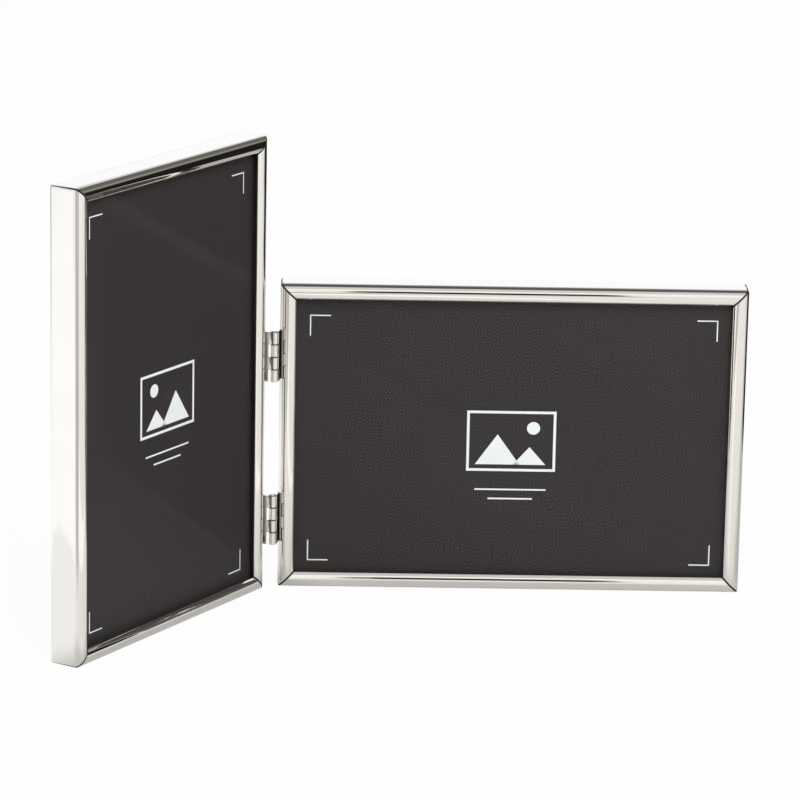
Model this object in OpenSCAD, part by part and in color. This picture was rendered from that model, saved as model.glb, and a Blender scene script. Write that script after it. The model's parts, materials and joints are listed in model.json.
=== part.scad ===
// Double photo frame: an upright frame and a lying frame that fold on two small butt hinges.
// Lengths are in millimetres. Z is up, the lying frame runs along X and shows its face to -Y.
// The origin is on the table, under the middle of the open object.

/* [Prints] */
// Short side of each print
print_short = 101.6; // [80:0.1:150]
// Long side of each print
print_long = 152.4; // [110:0.1:240]
// Strip along each edge of a centred print that the rail's lip covers
lip_overlap = 3.4; // [2.8:0.1:3.7]

/* [Rails] */
// Width of a rail's face, from the opening to the outer wall
face_w = 5.25; // [5:0.05:8]
// Height of a rail's rounded crest above its lip
crest_h = 1.2; // [0.9:0.05:1.6]
// Radius of the shoulder between the crest and the outer wall
shoulder_r = 2.8; // [2:0.05:3.1]
// Thickness of the rolled sheet that the rails are made of
sheet_t = 0.7; // [0.4:0.05:0.9]
// Height of the lip's edge over the glass
lip_h = 0.5; // [0.3:0.05:0.8]
// Inner radius of the bend between a rail's wall and its back flange
bend_in_r = 0.7; // [0.3:0.05:0.75]
// Radius of the frame's outer corners
corner_r = 1.2; // [0.3:0.05:2]

/* [Glass and backs] */
// Thickness of the glass
glass_t = 2; // [1:0.1:3]
// Thickness of the printed insert
insert_t = 0.3; // [0.1:0.05:0.8]
// Thickness of the filler card between the insert and the backing board
filler_t = 3.1; // [1:0.1:6]
// Thickness of the velvet-covered backing board
board_t = 3.4; // [2.8:0.1:5]
// Gap on each side of the board as it passes between the back flanges
pass_gap = 0.1; // [0.05:0.05:0.4]
// Gap between the glass's foot and the curve inside the bottom rail
foot_gap = 0.05; // [0.02:0.01:0.1]

/* [Turn buttons] */
// Thickness of a turn button
button_t = 0.6; // [0.5:0.05:1]
// Gap between a button and the flange that it catches
button_play = 0.2; // [0.1:0.05:0.4]
// Diameter of a button round its rivet
hub_d = 6.4; // [5:0.1:8]
// Width of a button's tongue
tongue_w = 4; // [3:0.1:4.8]
// Length of the tongue that lies behind the flange
catch_l = 0.6; // [0.4:0.05:0.7]
// Distance from a button's rivet to the edge of the flange
rivet_in = 6.5; // [5:0.1:12]
// Diameter of a rivet's shank
rivet_d = 2; // [1.6:0.1:2.6]
// Diameter of a rivet's head
rivet_head_d = 3.6; // [3.2:0.1:4.6]
// Height of a rivet's domed head
rivet_head_h = 0.5; // [0.3:0.05:0.7]
// Length of a rivet's shank in the board
rivet_grip = 2.4; // [1.5:0.1:2.6]
// Gap round a rivet's shank in the button, and under its head
rivet_gap = 0.05; // [0.03:0.01:0.09]

/* [Hinges] */
// Angle between the faces of the two open frames
open_angle = 123; // [100:1:170]
// Height of a hinge leaf
leaf_h = 17; // [12:0.5:26]
// Thickness of a hinge leaf
leaf_t = 0.5; // [0.35:0.05:0.55]
// Reach of a leaf from the pin's axis to its back edge
leaf_reach = 9; // [6:0.1:9.6]
// Reach of the notches between a leaf's knuckles, behind the pin's axis
notch_reach = 1.55; // [1.4:0.05:2.2]
// Outer diameter of the knuckles
barrel_d = 2.5; // [2.3:0.05:2.6]
// Diameter of the hinge pin
pin_d = 1.4; // [1:0.05:1.6]
// Gap round the pin in the knuckles that turn on it
pin_gap = 0.05; // [0.03:0.01:0.09]
// Gap between neighbouring knuckles
knuckle_gap = 0.2; // [0.1:0.05:0.4]
// Distance from the pin's axis to the outer wall of either frame
axis_out = 1.8; // [1.75:0.05:2.5]
// Distance from the pin's axis back to the lips' front
axis_front = 2.6; // [2.2:0.1:4]
// Height of the lower hinge's middle above the table
hinge_low = 24.35; // [14:0.05:34]
// Distance from the lying frame's top down to the upper hinge's middle
hinge_drop = 24.35; // [14:0.05:34]

/* [Hidden] */
$fn = 96;

// Overrun of a cut past the surface that it opens
over = 0.5;
// Number of knuckles on each hinge
knuckle_count = 4;

// Width and height of the print in each frame
left_print = [print_short, print_long];
right_print = [print_long, print_short];
// Sides of a frame that hold a button, counted clockwise from below as seen from the back
bottom_side = 0;
hinge_side = 1;
top_side = 2;
outer_side = 3;

// The frame's edge beyond a centred print, and the flange that the board has to pass
margin = face_w - lip_overlap;
flange_w = margin - pass_gap;
left_w = print_short + 2 * margin;
right_w = print_long + 2 * margin;

// The crest's place across the face, and the radius of the slope from the crest to the lip
crest_x = shoulder_r;
slope_w = face_w - crest_x;
slope_r = (slope_w * slope_w + crest_h * crest_h) / (2 * crest_h);
shoulder_y = shoulder_r - crest_h;
bend_r = bend_in_r + sheet_t;

// Depths of the layers behind the lips, and of a rail that takes them all
insert_y = lip_h + glass_t;
filler_y = insert_y + insert_t;
board_y = filler_y + filler_t;
button_y = board_y + board_t;
rail_depth = button_y + button_t + button_play + sheet_t;

// A rivet's head is a cap of this sphere
rivet_cap_r = (rivet_head_d * rivet_head_d / 4 + rivet_head_h * rivet_head_h) / (2 * rivet_head_h);

// Knuckles of a hinge, counted from its lower end
knuckle_pitch = (leaf_h + knuckle_gap) / knuckle_count;
knuckle_l = knuckle_pitch - knuckle_gap;
barrel_r = barrel_d / 2;
hinge_high = frame_h(right_print) - hinge_drop;

// The left frame's turn from flat, and the box of the open object round the pin's axis
turn = 180 - open_angle;
box_right = axis_out + right_w;
box_back = axis_front + rail_depth;
box_left = -(axis_out + left_w - bend_r) * cos(turn)
    - (box_back - bend_r) * sin(turn) - bend_r;
box_front = -(axis_out + left_w - shoulder_r) * sin(turn)
    + (axis_front + shoulder_y) * cos(turn) - shoulder_r;
axis_place = [-(box_left + box_right) / 2, -(box_front + box_back) / 2, 0];

silver = [0.86, 0.85, 0.83];
plated_steel = [0.74, 0.74, 0.72];
clear_glass = [0.8, 0.92, 0.95, 0.35];
charcoal = [0.24, 0.23, 0.23];
grey_card = [0.6, 0.57, 0.52];
black_velvet = [0.07, 0.07, 0.08];

// Places of the frames. A frame is drawn with its hinge-side wall at x = 0, its lips' front
// at y = 0, its back towards +y and its foot at z = 0.
module in_right_frame() {
    translate(axis_place) translate([axis_out, axis_front, 0]) children();
}

module in_left_frame() {
    translate(axis_place) rotate([0, 0, turn]) mirror([1, 0, 0])
        translate([axis_out, axis_front, 0]) children();
}

function frame_w(print) = print[0] + 2 * margin;
function frame_h(print) = print[1] + 2 * margin;

// Quarter of a ring in the given quadrant, where each sign picks a side of the centre
module quarter_band(r, inner_r, x_sign, y_sign) {
    intersection() {
        difference() {
            circle(r);
            circle(inner_r);
        }
        translate([x_sign < 0 ? -r : 0, y_sign < 0 ? -r : 0]) square(r);
    }
}

// Section of the rolled rail: shoulder, slope down to the lip, wall, bend and back flange
module rail_section() {
    translate([crest_x, shoulder_y]) quarter_band(shoulder_r, shoulder_r - sheet_t, -1, -1);
    intersection() {
        translate([crest_x, slope_r - crest_h]) difference() {
            circle(slope_r);
            circle(slope_r - sheet_t);
        }
        translate([crest_x, -crest_h]) square([slope_w, crest_h + lip_h]);
    }
    translate([0, shoulder_y]) square([sheet_t, rail_depth - bend_r - shoulder_y]);
    translate([bend_r, rail_depth - bend_r]) quarter_band(bend_r, bend_in_r, -1, 1);
    translate([bend_r, rail_depth - sheet_t]) square([flange_w - bend_r, sheet_t]);
}

// Front view of a rail that stands along Z: mitred, with rounded outer corners
module rail_front(length) {
    intersection() {
        polygon([[0, 0], [face_w, face_w], [face_w, length - face_w], [0, length]]);
        union() {
            translate([0, corner_r]) square([face_w, length - 2 * corner_r]);
            translate([corner_r, 0]) square([face_w - corner_r, length]);
            for (z = [corner_r, length - corner_r]) translate([corner_r, z]) circle(corner_r);
        }
    }
}

// A rail that stands along Z with its wall at x = 0
module rail(length) {
    color(silver) intersection() {
        linear_extrude(length) rail_section();
        translate([0, rail_depth + over, 0]) rotate([90, 0, 0])
            linear_extrude(crest_h + rail_depth + 2 * over) rail_front(length);
    }
}

module hinge_rail(print) {
    rail(frame_h(print));
}

module outer_rail(print) {
    translate([frame_w(print), 0, frame_h(print)]) rotate([0, 180, 0]) rail(frame_h(print));
}

module top_rail(print) {
    translate([0, 0, frame_h(print)]) rotate([0, 90, 0]) rail(frame_w(print));
}

module bottom_rail(print) {
    translate([frame_w(print), 0, 0]) rotate([0, -90, 0]) rail(frame_w(print));
}

// Height inside the bottom rail where a layer stands, on the shoulder's curve or on the wall
function stand_z(depth) = depth >= shoulder_y ? sheet_t
    : shoulder_r + foot_gap - sqrt(pow(shoulder_r - sheet_t, 2) - pow(shoulder_y - depth, 2));

// A layer of the stack behind the lips
module layer(print, depth, thickness) {
    translate([margin, depth, stand_z(depth)]) cube([print[0], thickness, print[1]]);
}

module glass(print) {
    color(clear_glass) layer(print, lip_h, glass_t);
}

module insert(print) {
    color(charcoal) layer(print, insert_y, insert_t);
}

module filler_card(print) {
    color(grey_card) layer(print, filler_y, filler_t);
}

// Draws its children at a side's rivet, with +y of theirs towards the side and +z to the back
module at_rivet(print, side) {
    middle = [frame_w(print) / 2, frame_h(print) / 2];
    reach = middle - [1, 1] * (flange_w + rivet_in);
    translate([middle[0] - reach[0] * sin(90 * side), button_y, middle[1] - reach[1] * cos(90 * side)])
        rotate([0, 90 * side, 0]) rotate([-90, 0, 0]) children();
}

module backing_board(print) {
    color(black_velvet) difference() {
        layer(print, board_y, board_t);
        for (side = [0 : 3]) at_rivet(print, side)
            translate([0, 0, -rivet_grip]) cylinder(d = rivet_d, h = rivet_grip + over);
    }
}

// A stamped button: a round hub on the rivet and a round-nosed tongue behind the flange
module button(print, side) {
    nose_y = rivet_in + catch_l - tongue_w / 2;
    color(plated_steel) at_rivet(print, side) linear_extrude(button_t) difference() {
        union() {
            circle(d = hub_d);
            translate([-tongue_w / 2, 0]) square([tongue_w, nose_y]);
            translate([0, nose_y]) circle(d = tongue_w);
        }
        circle(d = rivet_d + 2 * rivet_gap);
    }
}

module rivets(print) {
    head_z = button_t + rivet_gap;
    color(plated_steel) for (side = [0 : 3]) at_rivet(print, side) {
        translate([0, 0, -rivet_grip]) cylinder(d = rivet_d, h = rivet_grip + head_z);
        translate([0, 0, head_z]) intersection() {
            translate([0, 0, rivet_head_h - rivet_cap_r]) sphere(rivet_cap_r);
            cylinder(d = rivet_head_d + over, h = rivet_head_h + over);
        }
    }
}

// Half a hinge on a frame's hinge-side wall. It has every second knuckle, from the first one up.
module leaf(middle_z, first_knuckle, bore_d) {
    notch_y = notch_reach - axis_front;
    color(silver) translate([0, 0, middle_z - leaf_h / 2]) {
        translate([-leaf_t, notch_y, 0]) cube([leaf_t, leaf_reach - notch_reach, leaf_h]);
        for (i = [first_knuckle : 2 : knuckle_count - 1])
            translate([0, 0, i * knuckle_pitch]) linear_extrude(knuckle_l) difference() {
                union() {
                    translate([-axis_out, -axis_front]) circle(d = barrel_d);
                    polygon([
                        [0, notch_y], [-leaf_t, notch_y],
                        [barrel_r - axis_out - leaf_t, -axis_front], [barrel_r - axis_out, -axis_front]
                    ]);
                }
                translate([-axis_out, -axis_front]) circle(d = bore_d);
            }
    }
}

module pin(middle_z) {
    color(plated_steel) translate([-axis_out, -axis_front, middle_z - leaf_h / 2])
        cylinder(d = pin_d, h = leaf_h);
}

// The sub-parts by name
module left_top_rail() { in_left_frame() top_rail(left_print); }
module left_bottom_rail() { in_left_frame() bottom_rail(left_print); }
module left_outer_rail() { in_left_frame() outer_rail(left_print); }
module left_hinge_rail() { in_left_frame() hinge_rail(left_print); }
module left_glass() { in_left_frame() glass(left_print); }
module left_insert() { in_left_frame() insert(left_print); }
module left_filler_card() { in_left_frame() filler_card(left_print); }
module left_backing_board() { in_left_frame() backing_board(left_print); }
module left_button_top() { in_left_frame() button(left_print, top_side); }
module left_button_bottom() { in_left_frame() button(left_print, bottom_side); }
module left_button_outer() { in_left_frame() button(left_print, outer_side); }
module left_button_hinge() { in_left_frame() button(left_print, hinge_side); }
module left_button_rivets() { in_left_frame() rivets(left_print); }

module right_top_rail() { in_right_frame() top_rail(right_print); }
module right_bottom_rail() { in_right_frame() bottom_rail(right_print); }
module right_outer_rail() { in_right_frame() outer_rail(right_print); }
module right_hinge_rail() { in_right_frame() hinge_rail(right_print); }
module right_glass() { in_right_frame() glass(right_print); }
module right_insert() { in_right_frame() insert(right_print); }
module right_filler_card() { in_right_frame() filler_card(right_print); }
module right_backing_board() { in_right_frame() backing_board(right_print); }
module right_button_top() { in_right_frame() button(right_print, top_side); }
module right_button_bottom() { in_right_frame() button(right_print, bottom_side); }
module right_button_outer() { in_right_frame() button(right_print, outer_side); }
module right_button_hinge() { in_right_frame() button(right_print, hinge_side); }
module right_button_rivets() { in_right_frame() rivets(right_print); }

module upper_hinge_left_leaf() { in_left_frame() leaf(hinge_high, 1, pin_d + 2 * pin_gap); }
module upper_hinge_right_leaf() { in_right_frame() leaf(hinge_high, 0, pin_d); }
module upper_hinge_pin() { in_right_frame() pin(hinge_high); }
module lower_hinge_left_leaf() { in_left_frame() leaf(hinge_low, 1, pin_d + 2 * pin_gap); }
module lower_hinge_right_leaf() { in_right_frame() leaf(hinge_low, 0, pin_d); }
module lower_hinge_pin() { in_right_frame() pin(hinge_low); }

left_top_rail();
left_bottom_rail();
left_outer_rail();
left_hinge_rail();
left_glass();
left_insert();
left_filler_card();
left_backing_board();
left_button_top();
left_button_bottom();
left_button_outer();
left_button_hinge();
left_button_rivets();
right_top_rail();
right_bottom_rail();
right_outer_rail();
right_hinge_rail();
right_glass();
right_insert();
right_filler_card();
right_backing_board();
right_button_top();
right_button_bottom();
right_button_outer();
right_button_hinge();
right_button_rivets();
upper_hinge_left_leaf();
upper_hinge_right_leaf();
upper_hinge_pin();
lower_hinge_left_leaf();
lower_hinge_right_leaf();
lower_hinge_pin();
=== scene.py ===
# %% [markdown]
# # A double photo frame in silver plate
# Two shallow frames of rolled sheet metal stand on a table like an open book: an upright one on
# the left and a lying one on the right, joined by two small butt hinges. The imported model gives
# every piece its place and size. This lesson gives the pieces their finish, and rebuilds those
# that a mirror-bright surface shows off: the rails, the hinges and the glass.

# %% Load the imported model
import json
import math
from contextlib import contextmanager

import bmesh
import bpy
from mathutils import Matrix, Vector


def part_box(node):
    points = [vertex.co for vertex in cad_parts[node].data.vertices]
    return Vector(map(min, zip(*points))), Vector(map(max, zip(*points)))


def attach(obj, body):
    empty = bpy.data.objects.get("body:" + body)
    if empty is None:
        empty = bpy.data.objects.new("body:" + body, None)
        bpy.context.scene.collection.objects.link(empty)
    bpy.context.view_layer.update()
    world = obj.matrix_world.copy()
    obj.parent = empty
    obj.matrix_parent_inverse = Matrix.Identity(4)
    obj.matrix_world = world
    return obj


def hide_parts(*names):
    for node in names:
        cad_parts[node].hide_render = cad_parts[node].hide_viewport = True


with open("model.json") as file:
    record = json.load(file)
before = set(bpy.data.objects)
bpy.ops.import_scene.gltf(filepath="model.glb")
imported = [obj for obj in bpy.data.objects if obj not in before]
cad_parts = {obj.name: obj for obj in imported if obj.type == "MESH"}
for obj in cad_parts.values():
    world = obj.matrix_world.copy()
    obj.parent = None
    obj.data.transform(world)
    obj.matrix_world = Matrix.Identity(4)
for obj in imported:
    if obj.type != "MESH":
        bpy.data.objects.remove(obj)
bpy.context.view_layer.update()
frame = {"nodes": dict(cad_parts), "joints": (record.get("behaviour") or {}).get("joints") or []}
mm = 0.001

# %% [markdown]
# ## Where the two frames stand
# A rail is easiest to model lying straight, with its outer wall at x = 0, the front of its lip
# at y = 0 and its foot at z = 0. One matrix then carries it to the lying frame, and another
# mirrors it across the hinge's axis and turns it to the upright frame. Both are read from the
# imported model, so the pieces made here land exactly on those that they stand for.

# %% Places of the frames
crest_height = 1.2 * mm


def joint(name):
    """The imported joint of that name."""
    return next(found for found in frame["joints"] if found["name"] == name)


hinge_wall_low, hinge_wall_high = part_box("right_hinge_rail")
foot_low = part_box("right_bottom_rail")[0]
top_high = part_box("right_top_rail")[1]
outer_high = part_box("right_outer_rail")[1]
pivot = Vector(joint("fold")["pos_m"])
left_back = Vector(joint("left_button_top_turn")["axis"])
left_turn = math.atan2(-left_back.x, left_back.y)

long_side = outer_high.x - hinge_wall_low.x
short_side = top_high.z - foot_low.z
rail_depth = hinge_wall_high.y - hinge_wall_low.y - crest_height

right_place = Matrix.Translation((hinge_wall_low.x, hinge_wall_low.y + crest_height, 0))
left_place = (
    Matrix.Translation(pivot)
    @ Matrix.Rotation(left_turn, 4, "Z")
    @ Matrix.Scale(-1, 4, (1, 0, 0))
    @ Matrix.Translation(-pivot)
    @ right_place
)
sides = {
    "left": {"place": left_place, "width": short_side, "height": long_side},
    "right": {"place": right_place, "width": long_side, "height": short_side},
}
print("sides", round(long_side, 4), round(short_side, 4), "turn", round(math.degrees(left_turn), 2))

# %% [markdown]
# ## The camera
# A long lens from well back keeps the frames' uprights nearly parallel, as in a catalogue
# photograph. Its place is measured from the lying frame: a little to the right of its hinge
# side, far in front of its back, and high enough to look down by some fifteen degrees. Blender
# counts the lens and the sensor in millimetres of their own, so those two are plain numbers.

# %% Camera
camera_right = 16.05 * mm
camera_distance = 1413.5 * mm
camera_height = 439.49 * mm
camera_pan = math.radians(-0.992)
camera_tilt = math.radians(90 - 14.910)
camera_roll = math.radians(1.104)
camera_lens = 195.13
camera_sensor = 36
nearest_seen = 0.1
furthest_seen = 50

bpy.ops.object.select_all(action="DESELECT")
bpy.ops.object.camera_add(
    location=(
        hinge_wall_low.x + camera_right,
        hinge_wall_high.y - camera_distance,
        camera_height,
    )
)
camera = bpy.context.object
camera.name = "camera"
rotation = Matrix.Identity(3)
for angle, axis in ((camera_pan, "Z"), (camera_tilt, "X"), (camera_roll, "Z")):
    rotation = rotation @ Matrix.Rotation(angle, 3, axis)
camera.rotation_euler = rotation.to_euler()
camera.data.sensor_width = camera_sensor
camera.data.lens = camera_lens
camera.data.clip_start = nearest_seen
camera.data.clip_end = furthest_seen
bpy.context.scene.camera = camera
bpy.context.scene.view_settings.view_transform = "Standard"
print("camera at", [round(value, 3) for value in camera.location])

# %% [markdown]
# ## Arithmetic on sockets
# A procedural finish is mostly sums and products of patterns. Wrapping a socket in a small
# class lets those be written as Python expressions, where each sign adds one Math node.

# %% Sockets as numbers


class Wire:
    """An output socket that takes part in Python arithmetic."""

    def __init__(self, recipe, socket):
        self.recipe = recipe
        self.socket = socket

    def maths(self, operation, *values):
        """A Math node that works on the values."""
        numbered = dict(enumerate(values))
        return self.recipe.node("ShaderNodeMath", {"operation": operation}, numbered)

    def __add__(self, other):
        return self.maths("ADD", self, other)

    def __sub__(self, other):
        return self.maths("SUBTRACT", self, other)

    def __mul__(self, other):
        return self.maths("MULTIPLY", self, other)

    def __truediv__(self, other):
        return self.maths("DIVIDE", self, other)

    def __pow__(self, exponent):
        return self.maths("POWER", self, exponent)

    def __rsub__(self, other):
        return self.maths("SUBTRACT", other, self)

    __radd__ = __add__
    __rmul__ = __mul__

    def at_least(self, other):
        """The larger of two values."""
        return self.maths("MAXIMUM", self, other)

    def at_most(self, other):
        """The smaller of two values."""
        return self.maths("MINIMUM", self, other)

    def clamped(self):
        """The value held between 0 and 1."""
        return self.at_most(1).at_least(0)

    def size(self):
        """The value without its sign."""
        return self.maths("ABSOLUTE", self)

    def rise(self, start, end):
        """0 before start, 1 after end and a smooth step between them."""
        reach = {"From Min": start, "From Max": end}
        settings = {"interpolation_type": "SMOOTHSTEP"}
        return self.recipe.node("ShaderNodeMapRange", settings, {"Value": self, **reach})


# %% [markdown]
# ## Recipes of nodes
# Every node comes from one method, which takes its type, its settings and the values or links of
# its sockets, so a line of a recipe says all there is to know about a node. The other methods
# are the few patterns and mixes that the finishes of this object share.

# %% Recipes
white = (1, 1, 1, 1)


class Recipe:
    """The node tree of a finish or of the studio's surroundings."""

    def __init__(self, tree):
        self.tree = tree

    def node(self, kind, settings=None, sockets=None, output=0):
        """Adds a node, with its settings first, then the values or links of its sockets."""
        made = self.tree.nodes.new(kind)
        for name, value in (settings or {}).items():
            if name == "stops":
                fill_ramp(made.color_ramp, value)
            else:
                setattr(made, name, value)
        for name, value in (sockets or {}).items():
            if isinstance(value, Wire):
                self.tree.links.new(value.socket, made.inputs[name])
            else:
                made.inputs[name].default_value = value
        return Wire(self, made.outputs[output])

    def place(self, stretch=(1, 1, 1)):
        """Coordinates of the piece, scaled for a pattern."""
        coordinates = self.node("ShaderNodeTexCoord", output="Object")
        return self.node("ShaderNodeMapping", {}, {"Vector": coordinates, "Scale": stretch})

    def noise(self, per_metre, detail, stretch=(1, 1, 1)):
        """Cloudy values between 0 and 1, with that many clouds to the metre."""
        values = {"Scale": per_metre, "Detail": detail}
        return self.node("ShaderNodeTexNoise", {}, {"Vector": self.place(stretch), **values})

    def blend(self, share, first, second):
        """A colour between two colours."""
        settings = {"data_type": "RGBA"}
        return self.node("ShaderNodeMix", settings, {0: share, 6: first, 7: second}, output=2)

    def toned(self, share, first, second):
        """A number between two numbers."""
        return self.node("ShaderNodeMix", {"data_type": "FLOAT"}, {0: share, 2: first, 3: second})

    def parts(self, vector):
        """The x, y and z of a vector."""
        split = self.node("ShaderNodeSeparateXYZ", {}, {"Vector": vector}).socket.node
        return [Wire(self, socket) for socket in split.outputs]

    def rays(self, *kinds):
        """1 for a ray of that kind and 0 for any other, one value for each kind."""
        outputs = self.node("ShaderNodeLightPath").socket.node.outputs
        return [Wire(self, outputs[f"Is {kind} Ray"]) for kind in kinds]


def fill_ramp(ramp, stops):
    """Sets a ramp's stops from pairs of a place and a colour."""
    while len(ramp.elements) < len(stops):
        ramp.elements.new(1)
    for element, (place, colour) in zip(ramp.elements, stops):
        element.position = place
        element.color = colour


# %% [markdown]
# ## Two kinds of material
# Most finishes are one Principled shader. What is the same all over a piece is written on the
# shader itself, and only what changes over the surface is linked, because that is what a bake
# can follow. The glass and the studio mix two plain shaders instead.

# %% Materials


def shaded(colour, factor):
    """A darker or lighter copy of a colour."""
    return (*(factor * channel for channel in colour), 1)


def blank(name):
    """A new material and its recipe."""
    material = bpy.data.materials.new(name)
    material.use_nodes = True
    return material, Recipe(material.node_tree)


def finish(name, colour, roughness, metallic=0.0, **fixed):
    """A material with one Principled shader, and its recipe. fixed holds more constants of it."""
    material, recipe = blank(name)
    shader = recipe.tree.nodes["Principled BSDF"]
    constants = {"Base Color": (*colour, 1), "Roughness": roughness, "Metallic": metallic}
    for socket, value in {**constants, **fixed}.items():
        shader.inputs[socket].default_value = value
    material.diffuse_color = (*colour, 1)
    return material, recipe, shader


def dress(recipe, shader, colour, roughness, relief, height):
    """Links what varies over a surface: colour, roughness, and a relief with its real height."""
    bumps = recipe.node("ShaderNodeBump", {}, {"Height": relief, "Distance": height})
    for socket, wire in (("Base Color", colour), ("Roughness", roughness), ("Normal", bumps)):
        recipe.tree.links.new(wire.socket, shader.inputs[socket])


def mixture(name):
    """A material without a shader, and its recipe."""
    material, recipe = blank(name)
    recipe.tree.nodes.remove(recipe.tree.nodes["Principled BSDF"])
    return material, recipe


def surface(recipe, share, first, second):
    """Gives a mixture its surface, which goes from the first shader to the second."""
    mixed = recipe.node("ShaderNodeMixShader", {}, {0: share, 1: first, 2: second})
    output = recipe.tree.nodes["Material Output"]
    recipe.tree.links.new(mixed.socket, output.inputs["Surface"])


def report(material):
    """Prints how many nodes a material took."""
    print(material.name, "has", len(material.node_tree.nodes), "nodes")


# %% [markdown]
# ## Silver plate
# The rails are plated and polished to a mirror, slightly warm in colour. A perfect mirror looks
# false, so the polish gets three faint flaws: broad waves from rolling, a haze that the buffing
# wheel leaves in places, and hairlines too fine to see one by one. Polish never reaches into a
# joint, where grime and tarnish gather. The pieces carry an attribute named seam, 1 in a joint
# and 0 away from it, and the finish darkens there. On the hinges that darkening is painted shade
# in the slits between the fingers and in the crevices beside them.

# %% Silver plate
silver_colour = (0.945, 0.912, 0.85)
silver_haze_colour = (0.89, 0.86, 0.80)
tarnish_and_shade_colour = (0.026, 0.022, 0.018)
grime_and_shade_onset = (0.05, 0.6)
haze_onset = (0.45, 0.8)
haze_share = 0.35
haze_per_metre = 70
hairlines_per_metre = 2500
waves_per_metre = 45
wave_height = 0.010 * mm
hairline_share = 0.01
buffed_roughness = 0.035
haze_roughness = 0.045
hairline_roughness = 0.02
grime_and_shade_roughness = 0.4


def silver_plate():
    """Polished silver plate with faint waves, haze, hairlines, dark joints and painted shade."""
    material, recipe, shader = finish("silver_plate", silver_colour, roughness=0.06, metallic=1.0)
    seam = recipe.node("ShaderNodeAttribute", {"attribute_name": "seam"}, output=2)
    # Painted shade where the seam marks a hinge's slit or crevice; grime and tarnish at a mitre.
    grime_and_shade = seam.rise(*grime_and_shade_onset)
    haze = recipe.noise(haze_per_metre, detail=4).rise(*haze_onset)
    hairlines = recipe.noise(hairlines_per_metre, detail=2)
    waves = recipe.noise(waves_per_metre, detail=1)
    polish = recipe.blend(haze * haze_share, (*silver_colour, 1), (*silver_haze_colour, 1))
    colour = recipe.blend(grime_and_shade, polish, (*tarnish_and_shade_colour, 1))
    roughness = buffed_roughness + haze * haze_roughness + hairlines * hairline_roughness
    roughness = roughness + grime_and_shade * grime_and_shade_roughness
    dress(recipe, shader, colour, roughness, waves + hairlines * hairline_share, wave_height)
    return material


silver = silver_plate()
report(silver)

# %% [markdown]
# ## Glass
# The panes are float glass. Real refraction would keep the soft light from the card behind it,
# so the pane is a clear sheet with a mirror laid over it, which grows stronger towards a
# glancing view as on real glass.

# %% Glass
glass_tint = (0.975, 0.985, 0.98)
glass_roughness = 0.02
glass_mirror_share = 0.004
glass_mirror_glancing = 0.35
glass_mirror_onset = 8


def pane_glass():
    """A clear pane: light passes straight through, and a faint mirror lies on it."""
    material, recipe = mixture("pane_glass")
    polished = {"Color": white, "Roughness": glass_roughness}
    clear = recipe.node("ShaderNodeBsdfTransparent", {}, {"Color": (*glass_tint, 1)})
    mirror = recipe.node("ShaderNodeBsdfGlossy", {}, polished)
    glancing = recipe.node("ShaderNodeLayerWeight", {}, {"Blend": 0.5}, output=1)
    share = glass_mirror_share + glass_mirror_glancing * glancing**glass_mirror_onset
    surface(recipe, share, clear, mirror)
    return material


glass = pane_glass()
report(glass)

# %% [markdown]
# ## Printed card
# The insert is matt card printed charcoal all over, with a sign in white. Card is never quite
# even: it has a fine tooth and a slow mottle. Both stay within a few hundredths of the tone and
# a micrometre of height, since a stronger pattern would look like leather under the glass.

# %% Printed card
charcoal = (0.0360, 0.0293, 0.0310)
print_white = (0.86, 0.86, 0.86)
card_variation = 0.04
card_shine = 0.12
card_roughness = 0.5
tooth_roughness = 0.12
tooth_per_metre = 3500
tooth_height = 0.001 * mm
mottle_per_metre = 260


def printed_card(name, colour):
    """Matt print on card, with the card's faint tooth."""
    material, recipe, shader = finish(
        name, colour, roughness=0.55, **{"Specular IOR Level": card_shine})
    tooth = recipe.noise(tooth_per_metre, detail=3)
    mottle = recipe.noise(mottle_per_metre, detail=2)
    both = (tooth * 0.5 + mottle * 0.5).clamped()
    tones = shaded(colour, 1 - card_variation), shaded(colour, 1 + card_variation)
    roughness = card_roughness + tooth * tooth_roughness
    dress(recipe, shader, recipe.blend(both, *tones), roughness, tooth, tooth_height)
    return material


charcoal_card = printed_card("charcoal_card", charcoal)
white_ink = printed_card("white_ink", print_white)
report(charcoal_card)

# %% [markdown]
# ## Grey board
# The filler card is pressed from pulp, and its fibres mostly run up and down. The noise that
# draws them is therefore stretched that way, and it moves the tone and the height together.

# %% Grey board
board_grey = (0.32, 0.28, 0.23)
board_tones = shaded(board_grey, 0.72), shaded(board_grey, 1.2)
board_roughness = 0.85
fibre_roughness = 0.1
fibres_per_metre = 1600
fibre_stretch = (1, 1, 0.25)
fibre_height = 0.05 * mm


def grey_board():
    """Filler card of pressed grey pulp, with darker fibres."""
    material, recipe, shader = finish("grey_board", board_grey, roughness=0.9)
    fibres = recipe.noise(fibres_per_metre, 4, fibre_stretch)
    roughness = board_roughness + fibres * fibre_roughness
    dress(recipe, shader, recipe.blend(fibres, *board_tones), roughness, fibres, fibre_height)
    return material


grey_card = grey_board()
report(grey_card)

# %% [markdown]
# ## Velvet
# The backing board wears short black flock. Its fibres catch light from the side, which Sheen
# gives, and patches of it are painted a little lighter, a painted sheen where a hand has brushed
# the pile. Thousands of hairs would show no more than a bump of a tenth of a millimetre does at
# this distance.

# %% Velvet
velvet_black = (0.012, 0.012, 0.014)
velvet_and_sheen_tones = (*velvet_black, 1), shaded(velvet_black, 2.6)
velvet_shine = 0.1
velvet_roughness = 1.0
sheen = {"Sheen Weight": 0.9, "Sheen Roughness": 0.4, "Sheen Tint": (0.6, 0.6, 0.66, 1)}
pile_share = 0.35
pile_per_metre = 5200
pile_height = 0.12 * mm
brushed_share = 0.55
brushed_gloss = 0.12
brushed_per_metre = 38
brushed_stretch = (1, 1, 0.4)
brushed_onset = (0.42, 0.68)


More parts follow.
